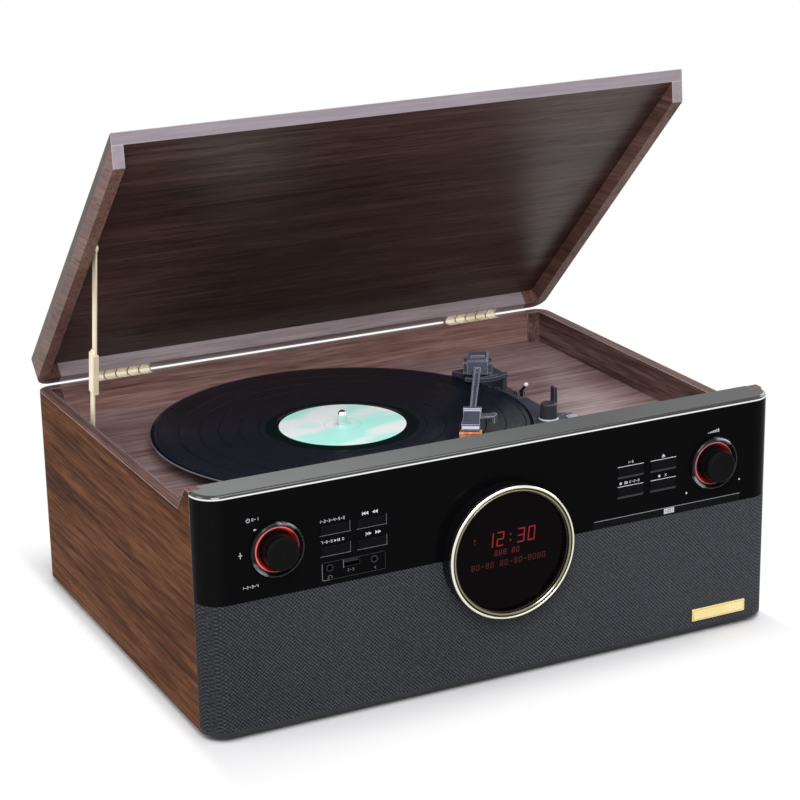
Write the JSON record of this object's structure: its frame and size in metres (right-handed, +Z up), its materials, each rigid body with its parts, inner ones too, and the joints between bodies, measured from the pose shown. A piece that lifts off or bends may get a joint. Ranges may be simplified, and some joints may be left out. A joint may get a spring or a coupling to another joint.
{
  "type": "stereo music centre",
  "caption": "Veneered table-top music centre with a hinged lid over a belt-driven turntable, front CD tray, round display, knobs, keys and cloth-covered speakers.",
  "frame": {"origin": "on the ground under the middle of the case and its raised lid", "axes": "+X to the listener's right along the front, +Y from the front to the rear, +Z up"},
  "size_m": [0.47, 0.3834, 0.4118],
  "materials": {
    "veneer": "satin walnut veneer",
    "lid_veneer": "satin walnut veneer",
    "deck_veneer": "satin walnut veneer",
    "back_board": "black painted board",
    "gloss_black": "high gloss",
    "frame_black": "matt moulded",
    "cloth": "woven speaker cloth",
    "gold": "polished gold",
    "brass": "satin brass",
    "display_glass": "smoked, polished",
    "lit_red": "translucent, lit",
    "knob_black": "satin gloss",
    "board_green": "coated laminate",
    "socket_metal": "bright",
    "drive_grey": "pressed sheet",
    "speaker_black": "paper cone and steel basket",
    "platter_metal": "satin",
    "vinyl": "pressed vinyl with grooves",
    "steel": "polished",
    "rubber": "matt",
    "arm_grey": "moulded, satin",
    "arm_base": "moulded, satin",
    "stylus_orange": "moulded",
    "selector_grey": "moulded"
  },
  "bodies": {
    "case": {"left_side_panel": "veneer", "right_side_panel": "veneer", "back_panel": "back_board", "base_board": "back_board", "feet": "rubber", "motor_board": "deck_veneer", "fascia": "gloss_black", "grille_frame": "frame_black", "speaker_cloth": "cloth", "badge_plate": "gold", "display_drum": "gloss_black", "display_ring": "gold", "display_glass": "display_glass", "knob_bezels": "gloss_black", "knob_light_rings": "lit_red", "control_board": "board_green", "jack_sockets": "socket_metal", "usb_socket": "socket_metal", "cd_mechanism": "drive_grey", "speaker_drivers": "speaker_black", "main_circuit_board": "board_green", "power_transformer": "drive_grey", "rear_connector_plate": "frame_black", "platter_bearing": "brass", "turntable_motor": "drive_grey", "drive_belt": "rubber", "tonearm_base": "arm_base", "arm_rest": "arm_base", "hinge_lower_leaves": "brass"},
    "lid": {"lid_panel": "lid_veneer", "lid_left_rail": "lid_veneer", "lid_right_rail": "lid_veneer", "lid_rear_rail": "lid_veneer", "hinge_upper_leaves": "brass", "stay_lid_bracket": "brass"},
    "stay_lower": {"stay_lower_strip": "brass"},
    "stay_upper": {"stay_upper_strip": "brass"},
    "disc_tray": {"cd_tray": "frame_black"},
    "turning_platter": {"platter": "platter_metal", "record": "vinyl", "spindle": "steel"},
    "pulley": {"motor_pulley": "brass"},
    "arm_swivel": {"tonearm_gimbal": "arm_grey"},
    "arm": {"tonearm_tube": "arm_grey", "headshell": "arm_base", "stylus": "stylus_orange"},
    "lift_bar": {"cue_lift_bar": "arm_base"},
    "cueing_lever": {"cue_lever": "arm_base"},
    "selector": {"speed_selector": "selector_grey"},
    "source_carrier": {"source_knob_shaft": "steel"},
    "source_dial": {"source_knob": "knob_black"},
    "volume_dial": {"volume_knob": "knob_black"},
    "program_key_cap": {"program_key": "knob_black"},
    "previous_key_cap": {"previous_key": "knob_black"},
    "scan_key_cap": {"scan_key": "knob_black"},
    "next_key_cap": {"next_key": "knob_black"},
    "preset_key_cap": {"preset_key": "knob_black"},
    "eject_key_cap": {"eject_key": "knob_black"},
    "menu_key_cap": {"menu_key": "knob_black"},
    "erase_key_cap": {"erase_key": "knob_black"}
  },
  "joints": [
    {"name": "lid_hinge", "type": "hinge", "parent": "case", "child": "lid", "pos_m": [0, 0.179, 0.16525], "axis": [1, 0, 0], "range_deg": [0, 45]},
    {"name": "stay_pivot", "type": "hinge", "parent": "case", "child": "stay_lower", "pos_m": [-0.2244, 0.0745, 0.148], "axis": [1, 0, 0], "range_deg": [0, 64.96]},
    {"name": "stay_slide", "type": "slide", "parent": "stay_lower", "child": "stay_upper", "axis": [0, -0.1741, 0.9847], "range_m": [-0.06948, 0]},
    {"name": "tray_slide", "type": "slide", "parent": "case", "child": "disc_tray", "axis": [0, -1, 0], "range_m": [0, 0.128]},
    {"name": "platter_spin", "type": "hinge", "parent": "case", "child": "turning_platter", "pos_m": [-0.041, 0.0095, 0.151], "axis": [0, 0, 1], "continuous": true},
    {"name": "pulley_spin", "type": "hinge", "parent": "case", "child": "pulley", "pos_m": [-0.11028, 0.0495, 0.143], "axis": [0, 0, 1], "continuous": true},
    {"name": "tonearm_swing", "type": "hinge", "parent": "case", "child": "arm_swivel", "pos_m": [0.11, 0.0665, 0.1615], "axis": [0, 0, 1], "range_deg": [-18.1, 33]},
    {"name": "tonearm_lift", "type": "hinge", "parent": "arm_swivel", "child": "arm", "pos_m": [0.11, 0.0665, 0.1615], "axis": [-0.863, 0.5053, 0], "range_deg": [0, 3.2]},
    {"name": "cue_lever_turn", "type": "hinge", "parent": "case", "child": "cueing_lever", "pos_m": [0.127, 0.0265, 0.1445], "axis": [-1, 0, 0], "range_deg": [0, 70]},
    {"name": "cue_lift", "type": "slide", "parent": "case", "child": "lift_bar", "axis": [0, 0, 1], "range_m": [0, 0.00134]},
    {"name": "speed_select", "type": "slide", "parent": "case", "child": "selector", "axis": [0, 1, 0], "range_m": [0, 0.008]},
    {"name": "source_push", "type": "slide", "parent": "case", "child": "source_carrier", "axis": [0, 1, 0], "range_m": [0, 0.001], "stiffness_N_per_m": 1500},
    {"name": "source_turn", "type": "hinge", "parent": "source_carrier", "child": "source_dial", "pos_m": [-0.1795, -0.1835, 0.139], "axis": [0, 1, 0], "continuous": true},
    {"name": "volume_turn", "type": "hinge", "parent": "case", "child": "volume_dial", "pos_m": [0.1795, -0.1835, 0.139], "axis": [0, 1, 0], "continuous": true},
    {"name": "program_key_press", "type": "slide", "parent": "case", "child": "program_key_cap", "axis": [0, 1, 0], "range_m": [0, 0.0008], "stiffness_N_per_m": 1500},
    {"name": "previous_key_press", "type": "slide", "parent": "case", "child": "previous_key_cap", "axis": [0, 1, 0], "range_m": [0, 0.0008], "stiffness_N_per_m": 1500},
    {"name": "scan_key_press", "type": "slide", "parent": "case", "child": "scan_key_cap", "axis": [0, 1, 0], "range_m": [0, 0.0008], "stiffness_N_per_m": 1500},
    {"name": "next_key_press", "type": "slide", "parent": "case", "child": "next_key_cap", "axis": [0, 1, 0], "range_m": [0, 0.0008], "stiffness_N_per_m": 1500},
    {"name": "preset_key_press", "type": "slide", "parent": "case", "child": "preset_key_cap", "axis": [0, 1, 0], "range_m": [0, 0.0008], "stiffness_N_per_m": 1500},
    {"name": "eject_key_press", "type": "slide", "parent": "case", "child": "eject_key_cap", "axis": [0, 1, 0], "range_m": [0, 0.0008], "stiffness_N_per_m": 1500},
    {"name": "menu_key_press", "type": "slide", "parent": "case", "child": "menu_key_cap", "axis": [0, 1, 0], "range_m": [0, 0.0008], "stiffness_N_per_m": 1500},
    {"name": "erase_key_press", "type": "slide", "parent": "case", "child": "erase_key_cap", "axis": [0, 1, 0], "range_m": [0, 0.0008], "stiffness_N_per_m": 1500}
  ],
  "couplings": [
    {"joint": "stay_pivot", "follows": "lid_hinge", "ratio": 1.439},
    {"joint": "stay_slide", "follows": "lid_hinge", "m_per_rad": -0.087831},
    {"joint": "pulley_spin", "follows": "platter_spin", "ratio": 13},
    {"joint": "cue_lever_turn", "follows": "cue_lift", "rad_per_m": 910.29},
    {"joint": "tonearm_lift", "follows": "cue_lift", "rad_per_m": 41.613}
  ]
}
